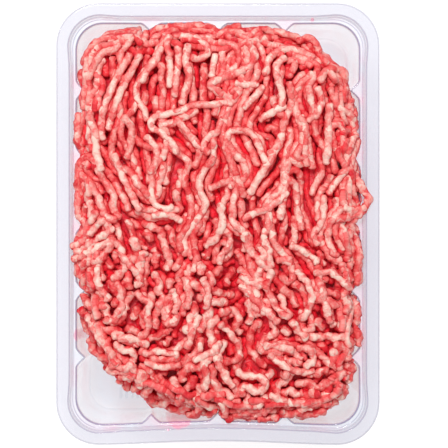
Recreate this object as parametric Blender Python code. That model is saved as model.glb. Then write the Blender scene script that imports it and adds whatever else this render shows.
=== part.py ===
"""Open retail tray of minced meat: a clear thermoformed tray and the heap of mince in it.

Metres, +Z up. The origin is on the table, under the middle of the tray. +Y points to the
tray's far short end. Two solids: the tray, which is one formed sheet, and the heap, which is
one solid out to its uneven outline and takes the tray's shape where it is pressed to the wall.
"""

import math

import bmesh
import bpy
from mathutils import Vector, noise

MM = 0.001

# The tray, a common retail size
LENGTH = 187 * MM
WIDTH = 137 * MM
HEIGHT = 45 * MM
SHEET = 0.5 * MM
SKIRT = 2.2 * MM
FRONT_DENT = 1.5 * MM
FRONT_DENT_REACH = 50 * MM

# The ribs that stand in from the walls between the wide round lobes
RIB_PITCH = 28.3 * MM
RIB_HALF_WIDTH = 4.15 * MM
RIB_DEPTH = 3.7 * MM
LONG_SIDE_RIBS = 5
SHORT_SIDE_RIBS = 3
LOBE_STEPS = (1.8 / 28.3, 4.15 / 28.3, 10.8 / 28.3, 17.5 / 28.3, 24.15 / 28.3, 26.5 / 28.3)
CORNER_SEGMENTS = 6

# The heap of mince
GAP = 0.5 * MM
HEAP_TOP = 52 * MM
HEAP_WALL_EDGE = 39.5 * MM
HEAP_FREE_EDGE = 26 * MM
HEAP_HALF_WIDTH = 60 * MM
HEAP_HALF_LENGTH = 83 * MM
HEAP_WOBBLE = 2.4 * MM
HEAP_WOBBLE_REACH = 13 * MM
HEAP_CORNERS = {(1, 1): 46 * MM, (-1, 1): 24 * MM, (-1, -1): 60 * MM, (1, -1): 30 * MM}
HEAP_SHOULDER = 19 * MM
HEAP_SIDE_HEIGHTS = (20 * MM, 4 * MM)
HEAP_FOOT_INSET = 15.4 * MM
BUNDLE_PITCH = 12.5 * MM
BUNDLE_DEPTH = 1.3 * MM
CREASE_DEPTH = 7 * MM
CREASE_HALF_WIDTH = 9 * MM
CREASE_FROM, CREASE_TO = -66 * MM, -4 * MM

# Each ring of the tray's upper skin: inset from the outer edge, extra inset along the straight
# of a side, height, corner radius, and how deep the ribs stand as a share of RIB_DEPTH.
SKIRT_FOOT = (0.0, 0.0, HEIGHT - SKIRT, 18.0 * MM, 0.0)
FLANGE_OUTER = (0.3 * MM, 0.0, HEIGHT, 17.7 * MM, 0.0)
FLANGE_INNER = (5.1 * MM, 0.6 * MM, HEIGHT, 13.5 * MM, 0.0)
SHOULDER_FOOT = (6.4 * MM, 0.8 * MM, HEIGHT - 2.8 * MM, 12.5 * MM, 0.0)
LEDGE_INNER = (8.5 * MM, 0.0, HEIGHT - 3.0 * MM, 11.3 * MM, 0.0)
WALL_TOP = (8.8 * MM, 0.0, HEIGHT - 3.9 * MM, 11.0 * MM, 1.0)
WALL_FOOT = (11.8 * MM, 0.0, 3.6 * MM, 10.5 * MM, 0.5)
FOOT_ROUND = (12.7 * MM, 0.0, 1.4 * MM, 10.0 * MM, 0.4)
FLOOR_EDGE = (14.9 * MM, 0.0, SHEET, 8.8 * MM, 0.2)
SKIN = (
    SKIRT_FOOT, FLANGE_OUTER, FLANGE_INNER, SHOULDER_FOOT, LEDGE_INNER,
    WALL_TOP, WALL_FOOT, FOOT_ROUND, FLOOR_EDGE,
)


def clear_scene():
    """Removes whatever the scene holds."""
    for obj in list(bpy.data.objects):
        bpy.data.objects.remove(obj)


def make_material(name, color, roughness, alpha=1.0):
    """A Principled material of one plain colour."""
    material = bpy.data.materials.new(name)
    material.use_nodes = True
    shader = material.node_tree.nodes["Principled BSDF"]
    shader.inputs["Base Color"].default_value = (*color, 1.0)
    shader.inputs["Roughness"].default_value = roughness
    shader.inputs["Metallic"].default_value = 0.0
    shader.inputs["Alpha"].default_value = alpha
    return material


def add_object(name, bm, material):
    """Writes the bmesh into a new named object in the scene."""
    mesh = bpy.data.meshes.new(name)
    bm.to_mesh(mesh)
    bm.free()
    mesh.materials.append(material)
    obj = bpy.data.objects.new(name, mesh)
    bpy.context.scene.collection.objects.link(obj)
    return obj


def side_stations(rib_count):
    """Places along one side where every ring has a point: the ribs' edges and tips, and the
    lobes between them, from one end of the side to the other."""
    first = -(rib_count - 1) / 2 * RIB_PITCH
    edges = [RIB_HALF_WIDTH, LOBE_STEPS[0] * RIB_PITCH]
    stations = [first - edge for edge in edges]
    for rib in range(rib_count):
        start = first + rib * RIB_PITCH
        stations.append(start)
        if rib < rib_count - 1:
            stations += [start + step * RIB_PITCH for step in LOBE_STEPS]
    return stations + [-first + edge for edge in reversed(edges)]


def rib_share(place, rib_count):
    """How far a rib stands in at this place along a side, from 0 in a lobe to 1 at its tip."""
    half = (rib_count - 1) / 2
    nearest = max(-half, min(half, round(place / RIB_PITCH + half) - half)) * RIB_PITCH
    away = min(abs(place - nearest) / RIB_HALF_WIDTH, 1.0)
    return (1.0 - away) ** 1.5


def ring_points(inset, mid_inset, radius, ribs):
    """Plan points of one closed ring of the tray, counter-clockwise from the right side's
    near end. Every ring has the same number of points, in step with each other."""
    half_width, half_length = WIDTH / 2 - inset, LENGTH / 2 - inset
    points = []
    for turn in range(4):
        long_side = turn % 2 == 0
        rib_count = LONG_SIDE_RIBS if long_side else SHORT_SIDE_RIBS
        out, along = (half_width, half_length) if long_side else (half_length, half_width)
        straight = along - radius
        local = [(out, -straight)]
        for place in side_stations(rib_count):
            sunk = RIB_DEPTH * ribs * rib_share(place, rib_count)
            local.append((out - mid_inset - sunk, place))
        local.append((out, straight))
        for step in range(1, CORNER_SEGMENTS):
            angle = math.pi / 2 * step / CORNER_SEGMENTS
            x = out - radius + radius * math.cos(angle)
            local.append((x, straight + radius * math.sin(angle)))
        cos, sin = ((1, 0), (0, 1), (-1, 0), (0, -1))[turn]
        points += [(x * cos - y * sin, x * sin + y * cos) for x, y in local]
    return points


def front_dent(x, y, height):
    """How far the near end is pushed in at this point, most at the flange."""
    if y > 0:
        return 0.0
    hump = max(0.0, 1.0 - (x / FRONT_DENT_REACH) ** 2) ** 2
    return FRONT_DENT * hump * height / HEIGHT


def ring_at(station):
    """The points in space of one ring of the tray's upper skin."""
    inset, mid_inset, height, radius, ribs = station
    plan = ring_points(inset, mid_inset, radius, ribs)
    return [Vector((x, y + front_dent(x, y, height), height)) for x, y in plan]


def extrude_ring(bm, edges, points):
    """Extrudes a loop of edges and moves the new loop to points. Returns the new edges.
    A vertex keeps its number in the ring in the bmesh's integer layer."""
    number = bm.verts.layers.int["number"]
    made = bmesh.ops.extrude_edge_only(bm, edges=edges)["geom"]
    for vert in made:
        if isinstance(vert, bmesh.types.BMVert):
            vert.co = points[vert[number]]
    grown = {v for v in made if isinstance(v, bmesh.types.BMVert)}
    return [e for e in made if isinstance(e, bmesh.types.BMEdge) and set(e.verts) <= grown]


def first_ring(bm, points):
    """A closed loop of edges through points, numbered in order."""
    number = bm.verts.layers.int.new("number")
    verts = [bm.verts.new(point) for point in points]
    for index, vert in enumerate(verts):
        vert[number] = index
    return [bm.edges.new((vert, verts[index - 1])) for index, vert in enumerate(verts)]


def build_tray(material):
    """The clear tray: flange and skirt, ledge, lobed walls with ribs, gutter and panel."""
    bm = bmesh.new()
    edges = first_ring(bm, ring_at(SKIN[0]))
    for station in SKIN[1:]:
        edges = extrude_ring(bm, edges, ring_at(station))
    bmesh.ops.contextual_create(bm, geom=edges)
    bmesh.ops.recalc_face_normals(bm, faces=bm.faces)
    panel = max(bm.faces, key=lambda face: len(face.verts))
    if panel.normal.z < 0:
        bmesh.ops.reverse_faces(bm, faces=bm.faces)
    tray = add_object("tray", bm, material)
    tray.data.shade_smooth()
    tray.data.set_sharp_from_angle(angle=math.radians(35))
    wall = tray.modifiers.new("sheet", "SOLIDIFY")
    wall.thickness = SHEET
    wall.offset = -1.0
    wall.use_even_offset = True
    wall.thickness_clamp = 0.0
    return tray


def heap_reach(x, y):
    """How far the heap's outline lies from the middle in the direction of (x, y)."""
    length = math.hypot(x, y)
    dx, dy = abs(x) / length, abs(y) / length
    radius = HEAP_CORNERS[(1 if x >= 0 else -1, 1 if y >= 0 else -1)]
    corner_x, corner_y = HEAP_HALF_WIDTH - radius, HEAP_HALF_LENGTH - radius
    side = HEAP_HALF_WIDTH / dx if dx else math.inf
    end = HEAP_HALF_LENGTH / dy if dy else math.inf
    if side * dy <= corner_y:
        return side
    if end * dx <= corner_x:
        return end
    middle = dx * corner_x + dy * corner_y
    return middle + math.sqrt(middle**2 - corner_x**2 - corner_y**2 + radius**2)


def wall_station(height):
    """Inset, corner radius and rib share of the tray's wall at a height."""
    share = (WALL_TOP[2] - height) / (WALL_TOP[2] - WALL_FOOT[2])
    return [top + (foot - top) * share for top, foot in zip(WALL_TOP, WALL_FOOT)]


def wall_points(height):
    """Plan points just clear of the tray's wall at a height."""
    inset, _, _, radius, ribs = wall_station(height)
    return ring_points(inset + GAP, 0.0, radius, ribs)


def heap_ring(height, points):
    """A ring of the heap: plan points in the tray, drawn in to the heap's own uneven outline
    where its corners lie free of the wall."""
    ring = []
    for x, y in points:
        wobble = HEAP_WOBBLE * noise.noise(Vector((x, y, 0.5 * height)) / HEAP_WOBBLE_REACH)
        share = min(1.0, (heap_reach(x, y) + wobble) / math.hypot(x, y))
        ring.append(Vector((x * share, y * share + front_dent(x, y, height), height)))
    return ring


def free_share(x, y):
    """1 where a corner of the heap lies free of the tray, 0 where the wall holds it."""
    radius = HEAP_CORNERS[(1 if x >= 0 else -1, 1 if y >= 0 else -1)]
    into_x = (abs(x) - (HEAP_HALF_WIDTH - radius)) / radius
    into_y = (abs(y) - (HEAP_HALF_LENGTH - radius)) / radius
    spread = (radius - 20 * MM) / (26 * MM)
    return max(0.0, min(1.0, spread)) * max(0.0, min(1.0, 2.6 * min(into_x, into_y)))


def crease(x, y):
    """The deep cleft that runs lengthwise between the two folds of mince."""
    if not CREASE_FROM < y < CREASE_TO:
        return 0.0
    share = (y - CREASE_FROM) / (CREASE_TO - CREASE_FROM)
    middle = 8 * MM + 2 * MM * math.sin(share * math.tau)
    across = min(1.0, abs(x - middle) / CREASE_HALF_WIDTH)
    return CREASE_DEPTH * (1.0 - across) ** 1.3 * math.sin(math.pi * share) ** 0.5


def heap_height(x, y, border_share):
    """Height of the heap's top. border_share is 1 on the outline and 0 in the middle."""
    edge = HEAP_WALL_EDGE + (HEAP_FREE_EDGE - HEAP_WALL_EDGE) * free_share(x, y)
    inward = min(1.0, (1.0 - border_share) * HEAP_HALF_WIDTH / HEAP_SHOULDER)
    dome = math.sqrt(1.0 - (1.0 - inward) ** 2)
    swell = 2.2 * MM * noise.noise(Vector((x, y, 0.0)) / (26 * MM))
    meander = 5 * MM * noise.noise(Vector((x, y, 0.1)) / (45 * MM))
    lean = 0.25 * y * (1.0 if y < 0 else -0.6)
    bundles = BUNDLE_DEPTH * math.sin(math.tau * (x + lean + meander) / BUNDLE_PITCH)
    return edge + (HEAP_TOP - edge) * dome + inward * (swell + bundles - crease(x, y))


def loop_place(row, column, rows, columns):
    """Place of a lattice border point in the loop that starts at the near right corner and
    runs counter-clockwise."""
    if column == columns:
        return row
    if row == rows:
        return rows + columns - column
    if column == 0:
        return 2 * rows + columns - row
    return 2 * rows + columns + column


def blended_point(loop, row, column, rows, columns):
    """A point inside a closed loop, blended from the loop's four sides."""
    def border(at_row, at_column):
        return loop[loop_place(at_row, at_column, rows, columns)]

    v, u = row / rows, column / columns
    across = border(0, column) * (1 - v) + border(rows, column) * v
    up = border(row, 0) * (1 - u) + border(row, columns) * u
    near = border(0, 0) * (1 - u) + border(0, columns) * u
    far = border(rows, 0) * (1 - u) + border(rows, columns) * u
    return across + up - near * (1 - v) - far * v


def build_heap(material):
    """The heap of mince: a lattice over the top, and rings down the pressed sides."""
    rows = len(side_stations(LONG_SIDE_RIBS)) + 1 + CORNER_SEGMENTS
    columns = len(side_stations(SHORT_SIDE_RIBS)) + 1 + CORNER_SEGMENTS
    high, low = [heap_ring(z, wall_points(z)) for z in (HEAP_WALL_EDGE, HEAP_FREE_EDGE)]
    ring = [top.lerp(under, free_share(top.x, top.y)) for top, under in zip(high, low)]
    # The lattice's corners are the middles of the ring's corner arcs.
    start = -(CORNER_SEGMENTS // 2)
    loop = ring[start:] + ring[:start]

    bm = bmesh.new()
    number = bm.verts.layers.int.new("number")
    bmesh.ops.create_grid(bm, x_segments=columns, y_segments=rows, size=1.0)
    for vert in bm.verts:
        column = round((vert.co.x + 1) / 2 * columns)
        row = round((vert.co.y + 1) / 2 * rows)
        border_share = max(abs(vert.co.x), abs(vert.co.y))
        place = blended_point(loop, row, column, rows, columns)
        if vert.is_boundary:
            vert[number] = (loop_place(row, column, rows, columns) + start) % len(ring)
        else:
            place.z = heap_height(place.x, place.y, border_share)
        vert.co = place
    edges = [edge for edge in bm.edges if edge.is_boundary]
    for height in HEAP_SIDE_HEIGHTS:
        edges = extrude_ring(bm, edges, heap_ring(height, wall_points(height)))
    foot = ring_points(HEAP_FOOT_INSET, 0.0, FLOOR_EDGE[3], 0.3)
    edges = extrude_ring(bm, edges, heap_ring(SHEET + GAP, foot))
    bmesh.ops.contextual_create(bm, geom=edges)
    bmesh.ops.recalc_face_normals(bm, faces=bm.faces)
    heap = add_object("mince", bm, material)
    heap.data.shade_smooth()
    return heap


def build():
    """Builds the tray and the heap in it."""
    clear_scene()
    build_tray(make_material("clear_plastic", (0.90, 0.89, 0.93), 0.08, alpha=0.3))
    build_heap(make_material("raw_mince", (0.74, 0.20, 0.18), 0.35))


build()
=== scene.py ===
"""Open retail tray of raw minced meat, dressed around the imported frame.

The frame holds a clear tray and one solid for the heap. This script replaces the tray with a
finer formed sheet, and the heap with the strands a mincer makes, laid one by one on a smaller
core. Strands are worked out in millimetres on charts, and their meshes are made in metres.
"""

import logging
import math
from abc import ABC, abstractmethod
from collections.abc import Callable
from dataclasses import dataclass, field

import bmesh
import bpy
import numpy as np
from mathutils import Matrix, Vector
from mathutils.bvhtree import BVHTree


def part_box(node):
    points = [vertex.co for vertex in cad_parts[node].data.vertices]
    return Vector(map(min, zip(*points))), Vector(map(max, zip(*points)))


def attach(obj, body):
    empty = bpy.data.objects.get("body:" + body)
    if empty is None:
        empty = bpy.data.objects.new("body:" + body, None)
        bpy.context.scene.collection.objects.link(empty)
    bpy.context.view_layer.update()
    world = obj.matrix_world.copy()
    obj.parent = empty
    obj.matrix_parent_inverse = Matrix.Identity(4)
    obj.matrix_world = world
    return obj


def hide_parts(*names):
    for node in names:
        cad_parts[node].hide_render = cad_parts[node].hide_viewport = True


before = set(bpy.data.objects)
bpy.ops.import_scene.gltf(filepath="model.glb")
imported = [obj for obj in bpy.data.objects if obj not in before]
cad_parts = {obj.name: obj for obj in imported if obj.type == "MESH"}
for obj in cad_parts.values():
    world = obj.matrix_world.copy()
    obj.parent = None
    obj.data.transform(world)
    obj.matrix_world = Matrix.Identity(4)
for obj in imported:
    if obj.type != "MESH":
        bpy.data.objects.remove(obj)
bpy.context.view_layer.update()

LOG = logging.getLogger("mince_tray")
MM = 0.001
SEED = 20


# ---------------------------------------------------------------- small helpers


def linear(code: str, alpha: float = 1.0) -> tuple[float, float, float, float]:
    """Turns an sRGB hex colour into a linear one.

    Args:
        code: Six hex digits.
        alpha: The alpha to add.

    Returns:
        Linear red, green, blue and alpha.
    """
    parts = [int(code[i : i + 2], 16) / 255 for i in (0, 2, 4)]
    red, green, blue = [
        part / 12.92 if part <= 0.04045 else ((part + 0.055) / 1.055) ** 2.4 for part in parts
    ]
    return red, green, blue, alpha


def add_node(tree: bpy.types.NodeTree, kind: str, settings: dict, links: dict) -> bpy.types.Node:
    """Adds a shader node with its settings and links.

    Args:
        tree: The node tree.
        kind: The node's type, without its ShaderNode prefix.
        settings: Property names, or input names or numbers, to values.
        links: Input names or numbers to the output sockets that feed them.

    Returns:
        The new node.
    """
    node = tree.nodes.new("ShaderNode" + kind)
    for key, value in settings.items():
        if isinstance(key, str) and hasattr(node, key):
            setattr(node, key, value)
        else:
            node.inputs[key].default_value = value
    for key, output in links.items():
        tree.links.new(output, node.inputs[key])
    return node


def new_material(name: str) -> tuple[bpy.types.Material, bpy.types.NodeTree, bpy.types.Node]:
    """Makes an empty material.

    Args:
        name: The material's name.

    Returns:
        The material, its node tree, and its output node.
    """
    material = bpy.data.materials.new(name)
    material.use_nodes = True
    tree = material.node_tree
    tree.nodes.clear()
    return material, tree, tree.nodes.new("ShaderNodeOutputMaterial")


def set_ramp(node: bpy.types.Node, stops: tuple[tuple[float, str], ...]) -> None:
    """Sets a Color Ramp's stops to places and hex colours."""
    ramp = node.color_ramp
    while len(ramp.elements) < len(stops):
        ramp.elements.new(1.0)
    for element, (place, code) in zip(ramp.elements, stops):
        element.position = place
        element.color = linear(code)


def add_piece(name: str, mesh: bpy.types.Mesh, material: bpy.types.Material) -> bpy.types.Object:
    """Links a mesh as a piece of the object, riding on its one body.

    Args:
        name: The piece's name.
        mesh: Its mesh, already in place.
        material: Its material.

    Returns:
        The new object.
    """
    mesh.materials.append(material)
    piece = bpy.data.objects.new(name, mesh)
    bpy.context.scene.collection.objects.link(piece)
    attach(piece, "root")
    LOG.info("%s: %d faces", name, len(mesh.polygons))
    return piece


def smooth_along(values: np.ndarray, sigma: float) -> np.ndarray:
    """Blurs a row of values with a bell curve, holding its ends.

    Args:
        values: Values along a strand, one row for each point.
        sigma: The bell curve's spread, in points.

    Returns:
        The blurred values.
    """
    half = max(1, math.ceil(2.5 * sigma))
    bell = np.exp(-0.5 * (np.arange(-half, half + 1) / sigma) ** 2)
    bell /= bell.sum()
    rows = values.reshape(len(values), -1)
    padded = np.pad(rows, ((half, half), (0, 0)), mode="edge")
    blurred = [np.convolve(padded[:, i], bell, mode="valid") for i in range(rows.shape[1])]
    return np.stack(blurred, axis=1).reshape(values.shape)


class Probe:
    """Casts rays at a CAD node, in millimetres."""

    def __init__(self, node: str) -> None:
        """Reads the node's triangles."""
        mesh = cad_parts[node].data
        mesh.calc_loop_triangles()
        points = [vertex.co / MM for vertex in mesh.vertices]
        self.tree = BVHTree.FromPolygons(points, [tuple(t.vertices) for t in mesh.loop_triangles])

    def cast(self, origin: tuple, direction: tuple, miss: float) -> float:
        """Returns the distance from origin to the node along direction, or miss."""
        distance = self.tree.ray_cast(Vector(origin), Vector(direction))[3]
        return miss if distance is None else distance


# ---------------------------------------------------------------- terrain and charts


class Terrain:
    """Heights over a chart, kept on a square lattice, that strands are laid on.

    hard is the surface no strand may pass, height is the top of what lies there so far,
    ceiling is what it is pressed down to, open says where a strand may wander, and taken
    where the layer that is being laid already has one.
    """

    PRESSED_DEPTH = 2.0

    def __init__(self, low: tuple[float, float], high: tuple[float, float], cell: float, loops: bool = False) -> None:
        """Makes an empty terrain from low to high, its first axis closed on itself if it loops."""
        self.low = np.array(low, float)
        self.cell = cell
        self.loops = loops
        span = (np.array(high) - self.low) / cell
        self.size = (round(span[0]) if loops else math.ceil(span[0]) + 1, math.ceil(span[1]) + 1)
        self.hard = np.zeros(self.size)
        self.height = np.zeros(self.size)
        self.ceiling = np.full(self.size, 1e3)
        self.open = np.zeros(self.size, bool)
        self.taken = np.zeros(self.size, bool)
        reach = math.ceil(3.7 / cell)
        steps = np.arange(-reach, reach + 1)
        self.around = np.stack(np.meshgrid(steps, steps, indexing="ij"), axis=-1).reshape(-1, 2)

    def spots(self) -> list[tuple[int, int, float, float]]:
        """Returns each lattice point's two numbers and two places."""
        return [
            (i, j, self.low[0] + i * self.cell, self.low[1] + j * self.cell)
            for i in range(self.size[0])
            for j in range(self.size[1])
        ]

    def index(self, plan: np.ndarray) -> tuple[np.ndarray, np.ndarray]:
        """Returns the lattice numbers nearest to points of the plan."""
        near = np.rint((plan - self.low) / self.cell).astype(int)
        first, second = near[..., 0], near[..., 1]
        first = first % self.size[0] if self.loops else np.clip(first, 0, self.size[0] - 1)
        return first, np.clip(second, 0, self.size[1] - 1)

    def bed(self, x: float, y: float) -> float:
        """Returns the height at a point, and a very high one where no strand may go."""
        i = round((x - self.low[0]) / self.cell)
        j = round((y - self.low[1]) / self.cell)
        if self.loops:
            i %= self.size[0]
        if not (0 <= i < self.size[0] and 0 <= j < self.size[1]):
            return math.inf
        return self.height[i, j] if self.open[i, j] and not self.taken[i, j] else math.inf

    def footprint(self, plan: np.ndarray, radius: np.ndarray) -> tuple:
        """Finds the lattice points under a strand.

        Args:
            plan: The strand's points in plan.
            radius: Its radius at each point.

        Returns:
            Lattice numbers, the strand's half thickness over each, and whether it is under.
        """
        near = np.rint((plan - self.low) / self.cell)
        cells = near[:, None, :] + self.around[None]
        away = ((cells * self.cell + self.low - plan[:, None, :]) ** 2).sum(axis=2)
        lift = np.sqrt(np.maximum(radius[:, None] ** 2 - away, 0.0))
        first, second = self.index(cells * self.cell + self.low)
        return first, second, lift, away < radius[:, None] ** 2

    def take(self, plan: np.ndarray, spacing: float) -> None:
        """Marks the lattice points within spacing of a strand as taken."""
        first, second, _, under = self.footprint(plan, np.full(len(plan), spacing))
        self.taken[first[under], second[under]] = True

    def pressed(self, plan: np.ndarray, middle: np.ndarray, radius: np.ndarray, proud: float) -> np.ndarray:
        """Presses a strand's middle line down below the ceiling, keeping what is higher higher.

        Args:
            plan: The strand's points in plan.
            middle: The heights of its middle line.
            radius: Its radius at each point.
            proud: How far the strand may stand out of the ceiling.

        Returns:
            The lower heights.
        """
        limit = self.ceiling[self.index(plan)] + proud - radius
        free = limit - self.PRESSED_DEPTH
        excess = np.maximum(middle - free, 0.0)
        return np.minimum(middle, free) + self.PRESSED_DEPTH * (1 - np.exp(-excess / self.PRESSED_DEPTH))

    def lay(
        self, plan: np.ndarray, radius: np.ndarray, droop: float, press: float, proud: float = 0.0
    ) -> np.ndarray:
        """Drapes a strand over what lies there, and adds it.

        Args:
            plan: The strand's points in plan.
            radius: Its radius at each point.
            droop: How steeply it can fall from a support.
            press: How far it is pressed into its neighbours, as a share of its radius.
            proud: How far it may stand out of the ceiling.

        Returns:
            The strand's middle line, as plan places and heights.
        """
        first, second, lift, under = self.footprint(plan, radius)
        rest = np.where(under, self.height[first, second] + lift, -np.inf).max(axis=1)
        rest = self.pressed(plan, rest, radius, proud)
        steps = np.linalg.norm(np.diff(plan, axis=0), axis=1)
        along = np.concatenate(([0.0], np.cumsum(steps)))
        held = (rest[None, :] - droop * np.abs(along[:, None] - along[None, :])).max(axis=1)
        middle = np.maximum(smooth_along(held, 1.8), rest - 0.15) - press * radius
        middle = smooth_along(middle, 0.9)
        tops = (middle[:, None] + lift)[under]
        np.maximum.at(self.height, (first[under], second[under]), tops)
        return np.column_stack((plan, middle))

    def skyline(self, spread: float, inside: np.ndarray) -> np.ndarray:
        """Blurs the heights of what lies there.

        Args:
            spread: How far to blur, in millimetres.
            inside: Which cells to blur.

        Returns:
            The heights, blurred but left as they are at the edge of the cells.
        """
        weight = inside + 1e-6
        blurred = []
        for values in (self.height * weight, weight):
            across = smooth_along(values, spread / self.cell)
            blurred.append(smooth_along(np.ascontiguousarray(across.T), spread / self.cell).T)
        inner = np.clip((blurred[1] - 0.62) / 0.36, 0.0, 1.0)
        return self.height + inner * (blurred[0] / blurred[1] - self.height)

    def hard_at(self, plan: np.ndarray) -> np.ndarray:
        """Returns the hard surface's height at points of the plan, between lattice points."""
        place = (plan - self.low) / self.cell
        base = np.floor(place)
        share = place - base
        corners = [self.index((base + step) * self.cell + self.low) for step in ((0, 0), (1, 0), (0, 1), (1, 1))]
        a, b, c, d = [self.hard[corner] for corner in corners]
        near = a * (1 - share[..., 0]) + b * share[..., 0]
        far = c * (1 - share[..., 0]) + d * share[..., 0]
        return near * (1 - share[..., 1]) + far * share[..., 1]


class Chart(ABC):
    """A side of the heap, with a terrain, the way its strands run, and its place in space."""

    OUTER_SKIN = 1.0
    # The cap on the sunk depth keeps the painted crimson shade on side and floor strands partial.
    DEEPEST = 0.9
    terrain: Terrain

    @abstractmethod
    def grain(self, x: float, y: float) -> float:
        """Returns the angle that strands run at, in radians."""

    @abstractmethod
    def place(self, points: np.ndarray) -> np.ndarray:
        """Turns chart points into points in space, in millimetres."""

    @abstractmethod
    def rise(self, offsets: np.ndarray) -> np.ndarray:
        """Returns how far offsets from a strand's middle reach out of the heap."""

    def sunk(self, points: np.ndarray) -> np.ndarray:
        """Returns how far points lie below the heap's outermost meat, in millimetres."""
        return np.minimum(points[:, 2] - self.terrain.hard_at(points[:, :2]) - self.OUTER_SKIN, self.DEEPEST)


@dataclass(frozen=True)
class Outline:
    """A smooth closed curve round the heap, by its length, with outward normals."""

    points: np.ndarray
    normals: np.ndarray
    length: float

    @classmethod
    def around(cls, probe: Probe, level: float, margin: float, blur: float) -> "Outline":
        """Runs a curve round a solid.

        Args:
            probe: The solid.
            level: The height to run at.
            margin: How far outside the solid the curve lies.
            blur: The spread of the smoothing that bridges the solid's grooves.

        Returns:
            The curve, with a point for each millimetre.
        """
        turns = np.linspace(0.0, math.tau, 1440, endpoint=False)
        reach = [probe.cast((0, 0, level), (math.cos(t), math.sin(t), 0), 0.0) for t in turns]
        ring = np.column_stack((np.cos(turns), np.sin(turns))) * np.array(reach)[:, None]
        for spread in (blur, 1.5):
            ring = cls.resample(ring)
            wrapped = np.concatenate((ring, ring, ring))
            ring = smooth_along(wrapped, spread)[len(ring) : 2 * len(ring)]
        ring = cls.resample(ring)
        tangents = np.roll(ring, -2, axis=0) - np.roll(ring, 2, axis=0)
        tangents /= np.linalg.norm(tangents, axis=1)[:, None]
        normals = np.column_stack((tangents[:, 1], -tangents[:, 0]))
        return cls(ring + margin * normals, normals, float(len(ring)))

    @staticmethod
    def resample(ring: np.ndarray) -> np.ndarray:
        """Returns a closed curve with its points about a millimetre apart."""
        closed = np.vstack((ring, ring[:1]))
        along = np.concatenate(([0.0], np.cumsum(np.linalg.norm(np.diff(closed, axis=0), axis=1))))
        places = np.linspace(0.0, along[-1], round(along[-1]), endpoint=False)
        return np.column_stack([np.interp(places, along, closed[:, i]) for i in (0, 1)])

    def at(self, along: np.ndarray) -> tuple[np.ndarray, np.ndarray]:
        """Returns points and normals at lengths along the curve."""
        count = len(self.points)
        base = np.floor(along).astype(int)
        share = (along - base)[:, None]
        here, there = base % count, (base + 1) % count
        points = self.points[here] * (1 - share) + self.points[there] * share
        normals = self.normals[here] * (1 - share) + self.normals[there] * share
        return points, normals


# Which way the strands run on top of the heap: a place in millimetres and an angle in degrees,
# anticlockwise from +X. Combed lengthwise in the far half, and crossing more in the near half.
TOP_GRAIN = (
    (-54, 74, 50), (-42, 78, 12), (-57, 56, 88), (-45, 60, 68), (-35, 70, 68), (-48, 40, 78),
    (-38, 50, 66), (-32, 58, 80), (-25, 70, 62), (-20, 60, 88), (-12, 65, 90), (-4, 66, 84),
    (-10, 80, 168), (10, 80, 6), (28, 78, 30), (6, 60, 40), (14, 70, 100), (14, 52, 55),
    (22, 66, 80), (33, 73, 165), (42, 74, 128), (34, 62, 40), (28, 50, 84), (38, 50, 98),
    (50, 52, 110), (45, 35, 88), (57, 40, 104), (35, 35, 88), (25, 30, 66), (15, 30, 106),
    (5, 30, 104), (-4, 42, 84), (-5, 24, 62), (-15, 35, 128), (-20, 20, 68), (-12, 12, 86),
    (-30, 30, 92), (-36, 20, 112), (-45, 20, 106), (-54, 26, 96), (-55, 8, 82), (0, 10, 94),
    (10, 12, 100), (20, 14, 56), (33, 12, 70), (45, 10, 80), (57, 10, 74), (-40, 4, 108),
    (-24, 2, 170), (-25, -9, 116), (-10, 0, 72), (-55, -5, 56), (-57, -13, 38), (11, -8, 112),
    (20, -13, 112), (35, -10, 128), (46, -6, 100), (57, -12, 100), (-50, -20, 100), (-40, -20, 94),
    (-30, -20, 122), (-18, -22, 84), (-5, -22, 112), (3, -14, 24), (-50, -33, 112), (-35, -35, 90),
    (-20, -35, 80), (-8, -32, 74), (3, -30, 12), (16, -32, 128), (27, -30, 112), (38, -28, 100),
    (48, -28, 118), (57, -32, 96), (-40, -46, 10), (-25, -46, 58), (-14, -50, 20), (-4, -47, 86),
    (5, -50, 112), (18, -45, 80), (28, -51, 176), (38, -50, 118), (50, -48, 132), (57, -50, 100),
    (-48, -54, 120), (-35, -58, 150), (-20, -58, 172), (-8, -56, 38), (2, -63, 114), (13, -63, 15),
    (25, -60, 158), (38, -62, 30), (50, -60, 140), (55, -68, 60), (-32, -68, 72), (-18, -68, 76),
    (-5, -70, 70), (8, -73, 72), (20, -72, 36), (36, -75, 174), (48, -76, 28), (-20, -78, 160),
    (15, -82, 4), (36, -81, 0),
)


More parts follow.
